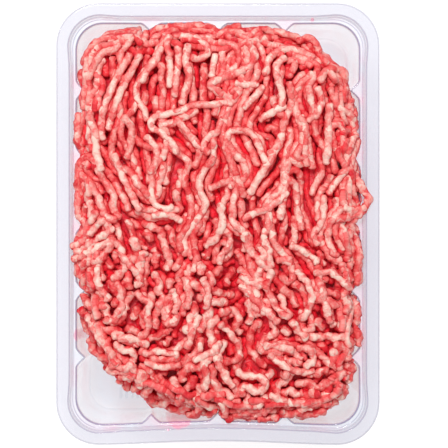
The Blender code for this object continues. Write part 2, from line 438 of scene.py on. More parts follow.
class TopChart(Chart):
    """The top of the heap. Heights are heights above the table."""

    SKYLINE_SPREAD = 3.0
    CELL = 0.7
    CORE_DEPTH = 7.6
    RIM_TO_CEILING = 2.0
    CLEFTS = (
        ((6.5, -8), (8.5, -27), 1.6), ((12, -40), (10.5, -61), 1.8), ((-8.5, 57), (-8, 68), 1.8),
        ((-5, -4), (-2.5, 9), 1.6), ((-38, 48), (-37, 53), 1.5), ((-29, 55), (-26, 61), 1.3),
        ((-23, 8), (-21, 12), 1.3), ((-1, 22), (1.5, 27), 1.2), ((-27, 33), (-24.5, 36), 1.2),
    )

    def __init__(self, mince: Probe, tray: Probe) -> None:
        """Reads the heap's and the tray's top surfaces."""
        low, high = [np.array(corner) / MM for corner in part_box("tray")]
        self.terrain = Terrain(low[:2], high[:2], self.CELL)
        sky = high[2] + 20
        for i, j, x, y in self.terrain.spots():
            top = sky - mince.cast((x, y, sky), (0, 0, -1), sky)
            sheet = sky - tray.cast((x, y, sky), (0, 0, -1), sky)
            self.terrain.hard[i, j] = sheet
            self.terrain.open[i, j] = top > sheet and top > 0
            self.terrain.height[i, j] = max(sheet, top - self.CORE_DEPTH)
            self.terrain.ceiling[i, j] = top if self.terrain.open[i, j] else high[2] + self.RIM_TO_CEILING
        self.inside = self.terrain.open.copy()
        self.blurred: np.ndarray | None = None
        knots = np.array(TOP_GRAIN, float)
        self.knots = knots[:, :2]
        self.turns = np.exp(2j * np.radians(knots[:, 2]))

    def keep_clefts(self) -> None:
        """Keeps the strands that are laid from now on out of the clefts."""
        for start, end, half_width in self.CLEFTS:
            steps = np.linspace(0, 1, 1 + math.ceil(2 * math.dist(start, end) / self.CELL))[:, None]
            middle = np.array(start) * (1 - steps) + np.array(end) * steps
            first, second, _, under = self.terrain.footprint(middle, np.full(len(middle), half_width))
            self.terrain.open[first[under], second[under]] = False

    def grain(self, x: float, y: float) -> float:
        """Blends the angles of the nearest knots of TOP_GRAIN."""
        away = ((self.knots - (x, y)) ** 2).sum(axis=1)
        return float(np.angle((self.turns / (away + 9.0) ** 2).sum())) / 2

    def place(self, points: np.ndarray) -> np.ndarray:
        """The chart's own axes are the space's."""
        return points

    def rise(self, offsets: np.ndarray) -> np.ndarray:
        """Reaches out of the heap upwards."""
        return offsets[:, 2]

    def sunk(self, points: np.ndarray) -> np.ndarray:
        """Returns how far points lie below the strands round about."""
        if self.blurred is None:
            self.blurred = self.terrain.skyline(self.SKYLINE_SPREAD, self.inside)
        return self.blurred[self.terrain.index(points[:, :2])] - points[:, 2]


class SideChart(Chart):
    """The heap's side all round. Its first axis runs along an outline, its second is the
    height above the table, and its heights are depths inwards."""

    MARGIN = 3.0

    def __init__(self, mince: Probe) -> None:
        """Reads how deep the heap's side lies behind the outline."""
        low, high = [np.array(corner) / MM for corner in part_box("mince")]
        self.outline = Outline.around(mince, 18.0, self.MARGIN, 5.0)
        cell = self.outline.length / round(self.outline.length / 0.75)
        self.terrain = Terrain((0.0, low[2] + 2.7), (self.outline.length, high[2] - 6), cell, loops=True)
        places = np.arange(self.terrain.size[0]) * cell
        points, normals = self.outline.at(places)
        for i, j, _, z in self.terrain.spots():
            start = points[i] + 4 * normals[i]
            depth = mince.cast((*start, z), (-normals[i][0], -normals[i][1], 0), 99.0) - 4
            self.terrain.hard[i, j] = depth
        flat = self.terrain.hard
        self.terrain.open[:] = flat < 9.5
        flat[~self.terrain.open] = 4.0
        self.terrain.height[:] = flat

    def grain(self, x: float, y: float) -> float:
        """Strands at the side wander between level and steep."""
        return 0.9 * math.sin(x / 23 + 1.3) + 0.7 * math.sin(x / 9.0 + y / 14)

    def place(self, points: np.ndarray) -> np.ndarray:
        """Goes inwards from the outline by the depth."""
        base, normals = self.outline.at(points[:, 0])
        return np.column_stack((base - normals * points[:, 2:3], points[:, 1]))

    def rise(self, offsets: np.ndarray) -> np.ndarray:
        """Reaches out of the heap sideways, or up where the side turns into the top."""
        return np.maximum(-offsets[:, 2], offsets[:, 1])


class FloorChart(Chart):
    """The heap's underside. Heights are heights above the heap's lowest point."""

    CELL = 0.9

    def __init__(self, mince: Probe) -> None:
        """Reads the heap's underside."""
        low, high = [np.array(corner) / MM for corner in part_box("mince")]
        self.low = low[2]
        self.terrain = Terrain(low[:2], high[:2], self.CELL)
        for i, j, x, y in self.terrain.spots():
            base = mince.cast((x, y, -10), (0, 0, 1), 99.0) - 10 - self.low
            self.terrain.hard[i, j] = min(base, 9.0)
            self.terrain.open[i, j] = base < 4.5
        self.terrain.height[:] = self.terrain.hard

    def grain(self, x: float, y: float) -> float:
        """Strands on the floor run in slow curves."""
        return 1.2 * math.sin(x / 21 + 0.6) + 1.3 * math.cos(y / 26) + 0.5 * math.sin((x + y) / 11)

    def place(self, points: np.ndarray) -> np.ndarray:
        """Lifts the chart to the heap's lowest point."""
        return points + (0, 0, self.low)

    def rise(self, offsets: np.ndarray) -> np.ndarray:
        """Reaches out of the heap downwards."""
        return -offsets[:, 2]


# ---------------------------------------------------------------- strands


@dataclass(frozen=True)
class Habit:
    """How strands of one kind run: lengths in millimetres, angles in radians."""

    shortest: float
    longest: float
    spread: float
    swing: float
    wave: float
    bend: float
    droop: float
    press: float
    lump: float
    radius: float
    jitter: float
    spacing: float


LONG = Habit(30, 80, 0.07, 0.22, 27, 0.22, 0.7, 0.18, 0.11, 1.68, 0.05, 3.35)
MEDIUM = Habit(18, 44, 0.14, 0.40, 19, 0.30, 0.8, 0.18, 0.14, 1.70, 0.10, 3.25)
KNOBBY = Habit(12, 32, 0.12, 0.50, 10, 0.42, 0.9, 0.20, 0.21, 1.84, 0.18, 3.2)
STUBBY = Habit(9, 26, 0.28, 0.60, 13, 0.42, 0.9, 0.20, 0.19, 1.76, 0.18, 3.1)
PRESSED = Habit(14, 44, 0.35, 0.60, 19, 0.30, 1.0, 0.20, 0.11, 1.68, 0.08, 2.9)


@dataclass
class Strand:
    """One strand: its middle line on a chart, its radius, and how it is marked."""

    chart: Chart
    line: np.ndarray
    radius: float
    lump: float
    lean: float
    seed: float


class Layer:
    """Lays strands on a chart until it has reached its goal."""

    STEP = 0.9
    SUNK = 0.2
    THROWN = 0.9
    FEW = 60
    LOOK = 2.4
    NUDGES = (0.0, -0.28, 0.28, -0.55, 0.55)
    ESCAPES = (0.7, -0.7, 1.2, -1.2)

    def __init__(self, chart: Chart, rng: np.random.Generator) -> None:
        """Starts a layer on a chart."""
        self.chart = chart
        self.terrain = chart.terrain
        self.rng = rng

    def walk(self, start: np.ndarray, heading: float, length: float, habit: Habit, lean: float) -> list:
        """Follows the grain from a place, and settles into the hollows beside it.

        Args:
            start: Where to start.
            heading: The first heading.
            length: How far to go.
            habit: How the strand runs.
            lean: How far it leans off the grain.

        Returns:
            The points passed, without the first.
        """
        x, y = start
        points = []
        for _ in range(round(length / self.STEP)):
            wanted = self.chart.grain(x, y) + lean
            phase = 1.7 * math.sin(x / 9 + y / 31) + 1.1 * math.sin(x / 4.7 - y / 17)
            wanted += habit.swing * math.sin(math.tau * y / habit.wave + phase)
            if math.cos(wanted - heading) < 0:
                wanted += math.pi
            turn = math.remainder(wanted - heading, math.tau)
            most = habit.bend * self.STEP
            ahead = heading + max(-most, min(most, turn))
            costs = []
            for nudge in self.NUDGES + self.ESCAPES:
                way = ahead + nudge
                dx, dy = math.cos(way), math.sin(way)
                bed = self.terrain.bed(x + self.LOOK * dx, y + self.LOOK * dy)
                near = self.terrain.bed(x + 1.2 * dx, y + 1.2 * dy)
                costs.append((bed + near + 2.6 * abs(nudge), nudge))
            cost, nudge = min(costs)
            if cost == math.inf:
                break
            heading = ahead + 0.45 * nudge + self.rng.normal(0, habit.jitter)
            x += self.STEP * math.cos(heading)
            y += self.STEP * math.sin(heading)
            points.append((x, y))
        return points

    def free_start(self) -> np.ndarray | None:
        """Picks a free lattice point at random, or nothing once few are left."""
        free = np.argwhere(self.terrain.open & ~self.terrain.taken)
        if len(free) < self.FEW:
            return None
        return self.terrain.low + free[self.rng.integers(len(free))] * self.terrain.cell

    def strand(self, plan: np.ndarray, habit: Habit, radius: float, lean: float, proud: float) -> Strand:
        """Drapes one strand along a plan, standing at most proud out of the ceiling."""
        radii = np.full(len(plan), radius)
        line = self.terrain.lay(plan, radii, habit.droop, habit.press, proud)
        return Strand(self.chart, line, radius, habit.lump, lean, float(self.rng.uniform(0, 900)))

    def trail(self, start: np.ndarray, habit: Habit, lean: float) -> np.ndarray:
        """Runs a strand both ways from a place.

        Args:
            start: The place.
            habit: How the strand runs.
            lean: How far it leans off the grain.

        Returns:
            Its points in plan.
        """
        length = self.rng.uniform(habit.shortest, habit.longest)
        heading = self.chart.grain(*start) + lean
        back = self.walk(start, heading + math.pi, length * self.rng.uniform(0.3, 0.7), habit, lean)
        front = self.walk(start, heading, length - self.STEP * len(back), habit, lean)
        return np.array(back[::-1] + [tuple(start)] + front)

    def scatter(self, choose: Callable[[float, float], Habit], count: int, turn: float) -> list[Strand]:
        """Throws strands over what lies there, across the grain.

        Args:
            choose: Gives the habit for a place.
            count: How many to throw.
            turn: The spread of their turn off the grain.

        Returns:
            The strands.
        """
        self.terrain.taken[:] = False
        strands = []
        for _ in range(count):
            start = self.free_start()
            habit = choose(*start)
            plan = self.trail(start, habit, self.rng.normal(0, turn))
            if len(plan) < 5:
                continue
            radius = habit.radius * self.rng.normal(0.97, 0.06)
            lean = self.rng.beta(2.0, 2.4)
            strands.append(self.strand(smooth_along(plan, 1.0), habit, radius, lean, self.THROWN))
        return strands

    def fill(self, choose: Callable[[float, float], Habit], turn: float = 0.0) -> list[Strand]:
        """Lays one layer of strands side by side.

        Args:
            choose: Gives the habit for a place.
            turn: How far the layer's strands are turned off the grain.

        Returns:
            The strands.
        """
        self.terrain.taken[:] = False
        strands = []
        while (start := self.free_start()) is not None:
            habit = choose(*start)
            plan = self.trail(start, habit, self.rng.normal(turn, habit.spread))
            if len(plan) < 5:
                self.terrain.take(plan, self.terrain.cell)
                continue
            plan = smooth_along(plan, 1.0)
            self.terrain.take(plan, habit.spacing)
            radius = habit.radius * self.rng.normal(1.0, 0.08)
            strands.append(self.strand(plan, habit, radius, self.rng.beta(2.0, 2.2), self.SUNK))
        return strands


class StrandMesher:
    """Makes one mesh of many strands from a spun tube of the right number of rings."""

    CAPS = ((-0.62, 0.0), (-0.56, 0.5), (-0.34, 0.84))

    def __init__(self, sides: int, rng: np.random.Generator) -> None:
        """Sets the number of sides round a strand."""
        self.sides = sides
        self.rng = rng
        self.tubes: dict[int, tuple] = {}

    def tube(self, rings: int) -> tuple[bpy.types.Mesh, np.ndarray, np.ndarray]:
        """Spins a closed tube.

        Args:
            rings: Its number of rings, with a single point for the first and the last.

        Returns:
            Its mesh, and each vertex's ring and angle.
        """
        if rings not in self.tubes:
            bm = bmesh.new()
            reach = [0.0] + [1.0] * (rings - 2) + [0.0]
            profile = [bm.verts.new((x, 0, z)) for z, x in enumerate(reach)]
            edges = [bm.edges.new(pair) for pair in zip(profile, profile[1:])]
            bmesh.ops.spin(
                bm, geom=profile + edges, cent=(0, 0, 0), axis=(0, 0, 1), dvec=(0, 0, 0),
                angle=math.tau, space=Matrix.Identity(4),
                steps=self.sides, use_merge=True, use_normal_flip=False, use_duplicate=False,
            )
            bmesh.ops.remove_doubles(bm, verts=bm.verts, dist=0.01)
            bmesh.ops.recalc_face_normals(bm, faces=bm.faces)
            mesh = bpy.data.meshes.new("tube")
            bm.to_mesh(mesh)
            bm.free()
            spots = np.zeros(len(mesh.vertices) * 3)
            mesh.vertices.foreach_get("co", spots)
            spots = spots.reshape(-1, 3)
            turns = np.arctan2(spots[:, 1], spots[:, 0])
            self.tubes[rings] = (mesh, np.rint(spots[:, 2]).astype(int), turns)
        return self.tubes[rings]

    def skin(self, strand: Strand) -> tuple[bpy.types.Mesh, np.ndarray, np.ndarray]:
        """Wraps a tube round a strand.

        Args:
            strand: The strand.

        Returns:
            The tube's mesh, its points in space, and for each its place in the strand's own
            frame and how far it is sunk below what lies round it.
        """
        line = strand.line
        ends = [line[0] - line[1], line[-1] - line[-2]]
        ends = [end / np.linalg.norm(end) * strand.radius for end in ends]
        head = [line[0] - ends[0] * shift for shift, _ in self.CAPS]
        tail = [line[-1] - ends[1] * shift for shift, _ in self.CAPS[::-1]]
        middle = np.vstack((head, line, tail))
        scale = [size for _, size in self.CAPS]
        scale = np.array(scale + [1.0] * len(line) + scale[::-1])
        mesh, ring, turn = self.tube(len(middle))

        forward = np.gradient(middle, axis=0)
        forward /= np.linalg.norm(forward, axis=1)[:, None] + 1e-9
        side = np.cross(forward, (0, 0, 1))
        side /= np.linalg.norm(side, axis=1)[:, None] + 1e-9
        up = np.cross(side, forward)

        along = np.concatenate(([0.0], np.cumsum(np.linalg.norm(np.diff(middle, axis=0), axis=1))))
        place = along[ring]
        a, b, c, d, e = self.rng.uniform(0, math.tau, 5)
        fast = self.rng.uniform(0.8, 1.25)
        lumps = 0.6 * np.sin(place * 0.8 * fast + a) + 0.55 * np.sin(place * 2.1 * fast + b)
        lumps = lumps + 0.6 * np.sin(turn + place * 0.9 + c) + 0.6 * np.sin(2 * turn - place * 1.3 * fast + d)
        lumps = lumps + 0.35 * np.sin(3 * turn + place * 2.3 + e)
        radius = strand.radius * scale[ring] * (1 + strand.lump * lumps)
        across, rise = radius * np.cos(turn), radius * np.sin(turn)
        points = middle[ring] + across[:, None] * side[ring] + rise[:, None] * up[ring]
        floor = strand.chart.terrain.hard_at(points[:, :2])
        points[:, 2] = np.maximum(points[:, 2], floor)
        marks = np.column_stack(
            (place + strand.seed, across + strand.seed, strand.chart.rise(points - middle[ring]),
             strand.chart.sunk(points))
        )
        return mesh, strand.chart.place(points), marks

    def join(self, name: str, strands: list[Strand]) -> bpy.types.Mesh:
        """Joins strands into one mesh.

        Args:
            name: The mesh's name.
            strands: The strands.

        Returns:
            The mesh, with each vertex's place in its strand in the attribute strand_mm, how
            lean the strand is in lean, and how far the vertex is sunk in sunk_mm.
        """
        bm = bmesh.new()
        spots, marks, leans = [], [], []
        for strand in strands:
            tube, points, mark = self.skin(strand)
            bm.from_mesh(tube)
            spots.append(points)
            marks.append(mark)
            leans.append(np.full(len(points), strand.lean))
        mesh = bpy.data.meshes.new(name)
        bm.to_mesh(mesh)
        bm.free()
        mesh.vertices.foreach_set("co", (np.vstack(spots) * MM).ravel())
        marks = np.vstack(marks)
        mesh.attributes.new("strand_mm", "FLOAT_VECTOR", "POINT").data.foreach_set("vector", marks[:, :3].ravel())
        mesh.attributes.new("sunk_mm", "FLOAT", "POINT").data.foreach_set("value", marks[:, 3].copy())
        mesh.attributes.new("lean", "FLOAT", "POINT").data.foreach_set("value", np.concatenate(leans))
        mesh.update()
        mesh.shade_smooth()
        return mesh


# ---------------------------------------------------------------- listed strands

# The strands that catch the eye on top of the heap: points of the middle line in plan, in
# millimetres, and how lean the strand is, from 0 for pale fat to 1 for deep red.
FAR_STRANDS = (
    (0.25, (-37, 71), (-41, 64), (-45, 56), (-48, 48), (-49, 41), (-48.5, 36)),
    (0.40, (-33, 71), (-37, 63), (-41, 55), (-44, 47), (-46, 40)),
    (0.45, (-27, 69), (-31, 64), (-34, 58), (-34, 53), (-31, 48), (-30, 44)),
    (0.25, (-55, 70), (-55.5, 63), (-56, 55), (-56.5, 49)),
    (0.50, (-36, 78.5), (-44, 78.5), (-50, 77.5), (-54, 74), (-57, 68)),
    (0.45, (-24, 74), (-26, 69), (-30, 64), (-32, 60)),
    (0.35, (-20.5, 79), (-21.5, 75), (-20, 71)),
    (0.35, (-17, 76), (-16.5, 69), (-17.5, 61), (-18, 54)),
    (0.15, (-20.5, 70), (-20, 64), (-20.5, 58)),
    (0.45, (-12.5, 75), (-13.5, 69), (-12, 62), (-13.5, 56), (-15, 51)),
    (0.35, (-18, 79), (-11, 79), (-6, 76), (-4, 72), (-8, 69.5), (-11, 70)),
    (0.15, (4, 51), (-3, 50), (-10, 50), (-16, 47.5), (-22, 46), (-27, 44.5), (-28, 41), (-24, 38.5),
     (-20, 35), (-17, 30)),
    (0.40, (-9, 47.5), (-14, 45), (-19, 42.5), (-24, 41.5)),
    (0.45, (-17, 44), (-14, 40), (-9, 34), (-4, 30)),
    (0.40, (13, 76), (15.5, 71), (13, 66), (7, 63), (1, 61), (-3, 58.5), (0, 55.5), (4, 53), (5, 50)),
    (0.45, (1, 76.5), (6, 75.5), (9, 71), (7.5, 66), (3, 63)),
    (0.10, (-1, 71), (-2, 66), (-2.5, 62)),
    (0.35, (8, 59), (12, 58.5), (16.5, 58.5)),
    (0.05, (19, 57.5), (15, 53), (11, 49)),
    (0.10, (28, 49.5), (23, 47), (18, 44)),
    (0.25, (28, 70), (24.5, 66), (25.5, 60), (27, 55), (27, 50)),
    (0.30, (20, 63), (22, 70), (27, 73.5), (34, 73), (40, 70)),
    (0.45, (34, 77.5), (39, 78.5), (42, 75), (43, 71), (46, 67.5)),
    (0.45, (43, 60), (45, 64), (49, 65.5), (53, 64), (53.5, 58), (53, 52)),
    (0.30, (38, 57.5), (39, 52), (41, 47), (38, 43.5)),
    (0.35, (42, 57), (43.5, 51), (41, 45)),
    (0.35, (30, 59), (31, 51), (28, 43), (26, 35), (22, 29)),
    (0.10, (27, 36), (22, 27), (17, 19), (13.5, 13)),
    (0.20, (47, 50), (46.5, 42), (46.5, 34), (45.5, 26)),
    (0.30, (51, 49), (56, 46), (58, 42), (57, 38)),
    (0.20, (35, 45), (37, 39), (36.5, 32), (37.5, 25)),
    (0.35, (58, 38), (55, 31), (54, 25)),
    (0.30, (3.5, 33), (4.5, 38), (9, 39.5), (14.5, 37.5), (17.5, 32), (20, 26)),
    (0.50, (3, 33), (6, 25), (9, 17), (11, 12)),
    (0.20, (-39.5, 45), (-36.5, 41), (-36.5, 35), (-38, 28)),
    (0.35, (-30, 36.5), (-26, 32), (-26, 26), (-28.5, 21.5)),
    (0.15, (-43.5, 29), (-40.5, 21), (-36.5, 13), (-33, 6)),
    (0.15, (-54, 45), (-51.5, 38), (-51, 30), (-49, 23)),
    (0.40, (-3.5, 15), (1.5, 17), (6, 18.5)),
    (0.10, (-27, 3.5), (-21, 4), (-15.5, 1.5)),
    (0.20, (11, 2), (15, 4.5), (20, 6), (25, 9.5), (29, 13)),
)
NEAR_STRANDS = (
    (0.05, (1, 8), (2, 1), (0, -5), (-5, -9)),
    (0.55, (58, 21), (60.5, 16), (63.5, 10.5), (60.5, 5), (55.5, 3), (50, 2)),
    (0.45, (53, 7), (58, 5.5), (62, 7)),
    (0.05, (-48, 2), (-53, -3), (-58, -8), (-61.5, -9.5)),
    (0.20, (-46, -7), (-52, -11), (-57, -13), (-61, -15)),
    (0.10, (-44, -2), (-50, -6), (-56, -10), (-60, -12)),
    (0.15, (-51, 5), (-55, -1), (-58, -5)),
    (0.25, (11, -4), (13, -10), (18, -16), (22, -20), (20.5, -25), (15, -25), (10, -22)),
    (0.20, (19, -5), (21.5, -12), (22, -18)),
    (0.35, (10, -26), (15, -31), (20, -36), (25, -41)),
    (0.35, (20, -26), (23, -32), (26, -37), (30, -39)),
    (0.20, (33, -20), (37, -24), (39.5, -30), (38, -36), (35, -40)),
    (0.20, (41, -20.5), (48, -20.5), (52, -24), (56, -27)),
    (0.00, (31, -9), (37, -12), (42, -16)),
    (0.30, (43, -25), (45, -33), (47, -41)),
    (0.00, (31, -41), (34, -45), (37, -48)),
    (0.25, (22, -55), (27, -59), (34, -62), (40, -62)),
    (0.40, (34, -52), (39, -53), (40, -57), (37, -60)),
    (0.15, (8, -62), (12, -64), (18, -64.5), (20, -68), (17, -70.5), (11, -68)),
    (0.45, (1, -42), (5, -46), (9, -52), (8, -57), (3, -58)),
    (0.20, (-1, -56), (2, -62), (6, -68)),
    (0.10, (1, -50), (-3, -54), (-10, -57)),
    (0.15, (20, -51), (26, -51.5), (31, -53)),
    (0.35, (-30, -58), (-24, -60), (-16, -59)),
    (0.20, (-31, -54.5), (-24, -53.5), (-17, -55)),
    (0.35, (-41, -48), (-35, -48.5), (-30, -51)),
    (0.00, (9, -80), (13, -81.5), (18, -80.5)),
    (0.30, (1, -74), (3, -78), (3, -81)),
    (0.45, (22, -72), (30, -75), (39, -75.5), (47, -76)),
    (0.55, (33, -79.5), (39, -80.5), (45, -79)),
    (0.30, (-55, -39), (-51, -46), (-46, -53), (-42, -59)),
    (0.35, (-45, -59), (-40, -61), (-36, -59)),
    (0.25, (-14, -23), (-12, -29), (-13, -35)),
    (0.10, (-19, -28), (-17, -33), (-18, -37)),
    (0.30, (-6, -23), (-4, -29), (-5, -35)),
    (0.30, (-40, -14), (-37, -17), (-34, -21)),
)


class HandLaid:
    """Lays the listed strands."""

    PROUD = 1.5

    def __init__(self, layer: Layer) -> None:
        """Lays on the same terrain as the layer."""
        self.layer = layer

    @staticmethod
    def curve(points: tuple[tuple[float, float], ...]) -> np.ndarray:
        """Runs a smooth curve through points.

        Args:
            points: Points in plan.

        Returns:
            Points a strand's step apart on a Catmull-Rom curve.
        """
        knots = np.array(points, float)
        knots = np.vstack((2 * knots[0] - knots[1], knots, 2 * knots[-1] - knots[-2]))
        shares = np.linspace(0, 1, 24, endpoint=False)[:, None]
        runs = []
        for before, here, there, after in zip(knots, knots[1:], knots[2:], knots[3:]):
            bend = 2 * before - 5 * here + 4 * there - after
            twist = 3 * (here - there) + after - before
            runs.append(here + 0.5 * ((there - before) * shares + bend * shares**2 + twist * shares**3))
        dense = np.vstack(runs + [knots[-2:-1]])
        along = np.concatenate(([0.0], np.cumsum(np.linalg.norm(np.diff(dense, axis=0), axis=1))))
        places = np.linspace(0, along[-1], round(along[-1] / Layer.STEP) + 1)
        return np.column_stack([np.interp(places, along, dense[:, i]) for i in (0, 1)])

    def lay(self, drawn: tuple, habit: Habit) -> list[Strand]:
        """Lays drawn strands in their order."""
        strands = []
        for lean, *points in drawn:
            radius = self.layer.rng.normal(1.66, 0.08)
            strands.append(self.layer.strand(self.curve(tuple(points)), habit, radius, lean, self.PROUD))
        return strands


# ---------------------------------------------------------------- finishes


@dataclass(frozen=True)
class MeatFinish:
    """Raw minced beef: wet lean muscle broken up with lumps of pale fat about as wide as the
    strand. The lean is a translucent coral red, the fat a warm white pink. Between and under the
    strands and on their sides the colour turns crimson, as painted shade for light that has bounced
    among them, and proud tops are painted lighter and sunk strands darker, as painted light."""

    name: str = "raw_minced_beef"
    colours: tuple = ((0.12, "CE2430"), (0.34, "DC4B4A"), (0.52, "E37671"), (0.70, "E9A298"), (0.90, "EECABC"))
    # Painted crimson shade, mixed in between and under the strands and on their sides.
    painted_shade_colours: tuple = ((0.25, "C80C24"), (0.5, "EE102A"), (0.75, "F42C3E"))
    # Sunk depths over which the painted crimson shade grows.
    crimson_from_mm: float = -0.3
    crimson_at_mm: float = 2.4
    # From proud_mm to crimson_at_mm the proudest tops are painted lighter and sunk strands darker: painted light and
    # shade.
    proud_mm: float = -2.0
    # Rises over which the strands' sides turn to the painted crimson shade.
    shaded_from_mm: float = 1.3
    shaded_at_mm: float = 0.0
    lump_mm: float = 3.3
    crumb_mm: float = 2.6
    speck_mm: float = 0.8
    relief_mm: float = 0.6

    def shade(self, tree: bpy.types.NodeTree) -> bpy.types.Node:
        """Adds the nodes for the painted crimson shade, strongest where a place is sunk below the strands round it or
        faces away from the open side.

        Args:
            tree: The material's nodes.

        Returns:
            The node that gives the share of painted shade, which is high between and under strands and on their
            sides.
        """
        # Painted crimson shade where a place is sunk below the strands round it.
        sunk = add_node(tree, "Attribute", {"attribute_name": "sunk_mm"}, {})
        settings = {"From Min": self.crimson_from_mm, "From Max": self.crimson_at_mm, "To Max": 0.93}
        deep = add_node(tree, "MapRange", settings, {"Value": sunk.outputs["Fac"]})
        # Painted crimson shade on the strands' sides, as they turn away from the open side.
        place = add_node(tree, "Attribute", {"attribute_name": "strand_mm"}, {})
        rise = add_node(tree, "SeparateXYZ", {}, {0: place.outputs["Vector"]})
        settings = {"From Min": self.shaded_from_mm, "From Max": self.shaded_at_mm, "To Max": 0.95}
        shaded = add_node(tree, "MapRange", settings, {"Value": rise.outputs[2]})
        return add_node(tree, "Math", {"operation": "MAXIMUM"}, {0: deep.outputs[0], 1: shaded.outputs[0]})

    def colour(self, tree: bpy.types.NodeTree, mottle: bpy.types.Node, shade: bpy.types.Node) -> bpy.types.Node:
        """Adds the colour nodes.

        Args:
            tree: The material's nodes.
            mottle: The node that says how fat the meat is at a place.
            shade: The node that gives the share of painted crimson shade there.

        Returns:
            The node whose third output is the colour.
        """
        lean = add_node(tree, "Attribute", {"attribute_name": "lean"}, {})
        tone = add_node(tree, "Math", {"operation": "MULTIPLY_ADD", 1: -0.3, 2: 0.15}, {0: lean.outputs["Fac"]})
        total = add_node(tree, "Math", {"operation": "ADD"}, {0: mottle.outputs[0], 1: tone.outputs[0]})
        # Painted light and shade: the proudest strands are lighter, and sunk ones darker.
        sunk = add_node(tree, "Attribute", {"attribute_name": "sunk_mm"}, {})
        settings = {"From Min": self.proud_mm, "From Max": self.crimson_at_mm, "To Min": 0.14, "To Max": -0.14}
        painted_top_light = add_node(tree, "MapRange", settings, {"Value": sunk.outputs["Fac"]})
        total = add_node(tree, "Math", {"operation": "ADD"}, {0: painted_top_light.outputs[0], 1: total.outputs[0]})
        surface = add_node(tree, "ValToRGB", {}, {0: total.outputs[0]})
        set_ramp(surface, self.colours)
        # The painted crimson shade, mixed over the surface colour by the shade share.
        painted_shade_ramp = add_node(tree, "ValToRGB", {}, {0: mottle.outputs[0]})
        set_ramp(painted_shade_ramp, self.painted_shade_colours)
        return add_node(
            tree, "Mix", {"data_type": "RGBA"},
            {0: shade.outputs[0], 6: surface.outputs[0], 7: painted_shade_ramp.outputs[0]},
        )

    def material(self) -> bpy.types.Material:
        """Builds the material."""
        material, tree, output = new_material(self.name)
        place = add_node(tree, "Attribute", {"attribute_name": "strand_mm"}, {})
        settings = {"Scale": 1 / self.crumb_mm, "Detail": 2.5, "Roughness": 0.55}
        crumbs = add_node(tree, "TexNoise", settings, {"Vector": place.outputs["Vector"]})
        settings = {"Scale": 1 / self.speck_mm, "Detail": 2.0, "Roughness": 0.6}
        specks = add_node(tree, "TexNoise", settings, {"Vector": place.outputs["Vector"]})
        settings = {"feature": "SMOOTH_F1", "Scale": 1 / self.lump_mm, "Smoothness": 0.06}
        lumps = add_node(tree, "TexVoronoi", settings, {"Vector": place.outputs["Vector"]})
        kind = add_node(tree, "SeparateColor", {}, {0: lumps.outputs["Color"]})
        blend = add_node(
            tree, "Math", {"operation": "MULTIPLY_ADD", 1: 0.9, 2: -0.17}, {0: crumbs.outputs[0]}
        )
        blend = add_node(
            tree, "Math", {"operation": "MULTIPLY_ADD", 1: 0.42}, {0: kind.outputs[0], 2: blend.outputs[0]}
        )
        mottle = add_node(
            tree, "Math", {"operation": "MULTIPLY_ADD", 1: 0.45}, {0: specks.outputs[0], 2: blend.outputs[0]}
        )
        mottle = add_node(tree, "Math", {"operation": "SUBTRACT", 1: 0.21}, {0: mottle.outputs[0]})
        shade = self.shade(tree)
        colour = self.colour(tree, mottle, shade)
        wet = add_node(
            tree, "MapRange", {"From Min": 0.35, "From Max": 0.65, "To Min": 0.3, "To Max": 0.5},
            {"Value": specks.outputs[0]},
        )
        dull = add_node(
            tree, "Math", {"operation": "MULTIPLY_ADD", 1: 0.5, "use_clamp": True},
            {0: shade.outputs[0], 2: wet.outputs[0]},
        )
        bump = add_node(
            tree, "Bump", {"Strength": 0.7, "Distance": self.relief_mm * MM}, {"Height": mottle.outputs[0]}
        )
        shader = add_node(
            tree,
            "BsdfPrincipled",
            {
                "IOR": 1.36, "Coat Weight": 0.1, "Coat Roughness": 0.1, "Specular IOR Level": 0.4,
            },
            {"Base Color": colour.outputs[2], "Roughness": dull.outputs[0], "Normal": bump.outputs[0]},
        )
        tree.links.new(shader.outputs[0], output.inputs[0])
        return material


@dataclass(frozen=True)
class CoreFinish:
    """Packed mince below the loose strands, seen only deep between them: its saturated crimson is painted shade for
    light that has bounced among the strands.
    """

    name: str = "packed_mince_painted_shade"
    # Both colours are painted crimson shade.
    dark: str = "CC0E24"
    light: str = "F0283E"
    grain_mm: float = 2.6

    def material(self) -> bpy.types.Material:
        """Builds the material."""
        material, tree, output = new_material(self.name)
        place = add_node(tree, "TexCoord", {}, {})
        settings = {"Scale": 1 / (self.grain_mm * MM), "Detail": 3.0}
        grain = add_node(tree, "TexNoise", settings, {"Vector": place.outputs["Object"]})
        colour = add_node(tree, "ValToRGB", {}, {0: grain.outputs[0]})
        set_ramp(colour, ((0.35, self.dark), (0.7, self.light)))
        bump = add_node(tree, "Bump", {"Strength": 1.0, "Distance": 0.8 * MM}, {"Height": grain.outputs[0]})
        shader = add_node(
            tree, "BsdfPrincipled", {"Roughness": 0.4, "IOR": 1.4},
            {"Base Color": colour.outputs[0], "Normal": bump.outputs[0]},
        )
        tree.links.new(shader.outputs[0], output.inputs[0])
        return material


